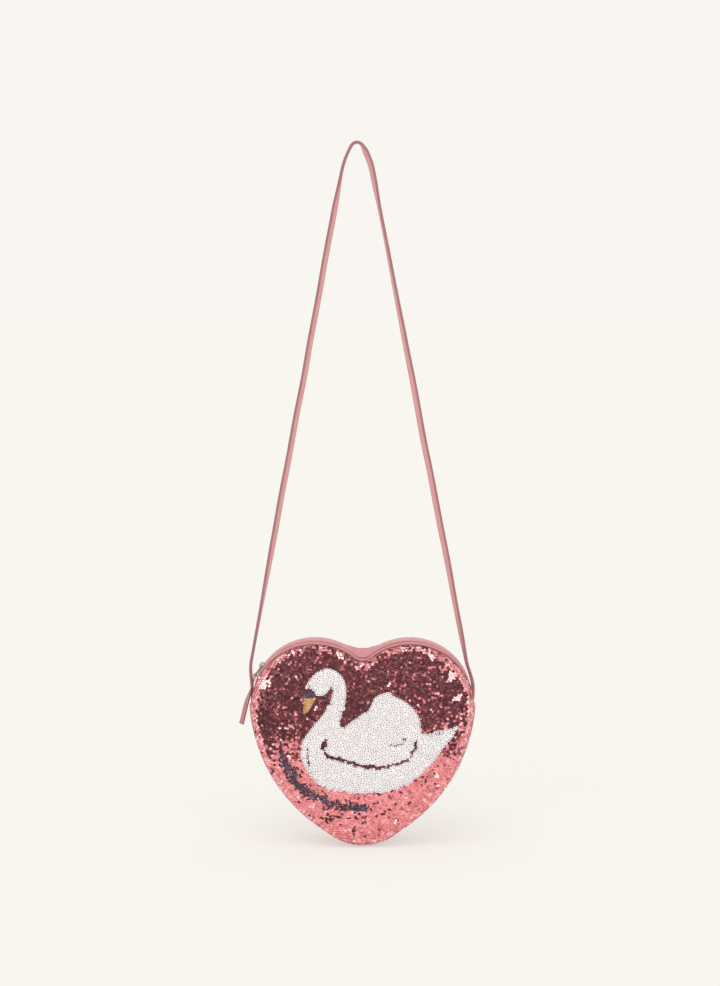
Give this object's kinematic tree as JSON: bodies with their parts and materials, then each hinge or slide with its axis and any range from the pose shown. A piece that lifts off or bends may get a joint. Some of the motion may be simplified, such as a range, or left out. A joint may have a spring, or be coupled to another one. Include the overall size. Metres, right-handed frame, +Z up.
{
  "type": "child's shoulder bag",
  "caption": "Heart-shaped padded shoulder bag with sequin front, zip along its gusset over both lobes and a thin fixed strap drawn up to a hanging point.",
  "frame": {"origin": "inner top of the strap's loop, where the bag hangs on a hook, 4.4 mm left of the heart's middle", "axes": "+Z up along the hanging bag, +Y from the sequin front to the back, +X to the right of the front"},
  "size_m": [0.1893, 0.0527, 0.5588],
  "materials": {
    "rose_sequin_cloth": "small round metallic sequins on cloth",
    "pink_coated_cloth": "smooth coated cloth",
    "pink_coated_strap": "smooth folded and coated strip",
    "pink_lining": "matt woven lining",
    "white_foam": "felted padding",
    "zip_tape": "woven tape",
    "zip_teeth": "nylon coil",
    "silver_metal": "polished and plated",
    "pink_thread": "sewing thread",
    "white_sequins": "small round glossy sequins",
    "orange_sequins": "small round metallic sequins",
    "navy_sequins": "small round dark sequins"
  },
  "bodies": {
    "strap_loop": {"strap": "pink_coated_strap"},
    "bag": {"strap_end_left": "pink_coated_strap", "strap_end_right": "pink_coated_strap", "strap_stitches_left": "pink_thread", "strap_stitches_right": "pink_thread", "front_cover": "rose_sequin_cloth", "front_padding": "white_foam", "front_lining": "pink_lining", "front_seam_binding": "pink_lining", "back_cover": "pink_coated_cloth", "back_padding": "white_foam", "back_lining": "pink_lining", "back_seam_binding": "pink_lining", "bottom_gusset": "pink_coated_cloth", "gusset_foam": "white_foam", "gusset_lining": "pink_lining", "side_tab_left": "pink_coated_cloth", "side_tab_right": "pink_coated_cloth", "zip_strip_front": "pink_coated_cloth", "zip_strip_back": "pink_coated_cloth", "zip_lining_front": "pink_lining", "zip_lining_back": "pink_lining", "zip_tape_front": "zip_tape", "zip_tape_back": "zip_tape", "zip_teeth_front": "zip_teeth", "zip_teeth_back": "zip_teeth", "zip_top_stop_front": "silver_metal", "zip_top_stop_back": "silver_metal", "zip_bottom_stop": "silver_metal", "swan_motif": "white_sequins", "swan_bill": "orange_sequins", "water_ripple": "navy_sequins"},
    "slider": {"zip_slider": "silver_metal"},
    "ring": {"pull_ring": "silver_metal"},
    "tab": {"pull_tab": "pink_coated_strap"}
  },
  "joints": [
    {"name": "bag_swing", "type": "hinge", "parent": "strap_loop", "child": "bag", "pos_m": [0, 0, -0.41487], "axis": [1, 0, 0], "range_deg": [-75, 75]},
    {"name": "zip_slide", "type": "hinge", "parent": "bag", "child": "slider", "pos_m": [-0.0336, -0.0074, -0.4452], "axis": [0, 1, 0], "range_deg": [0, 80], "deforming": ["zip_teeth_front", "zip_teeth_back"]},
    {"name": "ring_swing", "type": "hinge", "parent": "slider", "child": "ring", "pos_m": [-0.07576, -0.0074, -0.41318], "axis": [0, 1, 0], "range_deg": [0, 130]},
    {"name": "tab_swing", "type": "hinge", "parent": "ring", "child": "tab", "pos_m": [-0.08121, -0.0074, -0.42096], "axis": [0, 1, 0], "range_deg": [0, 35]}
  ]
}
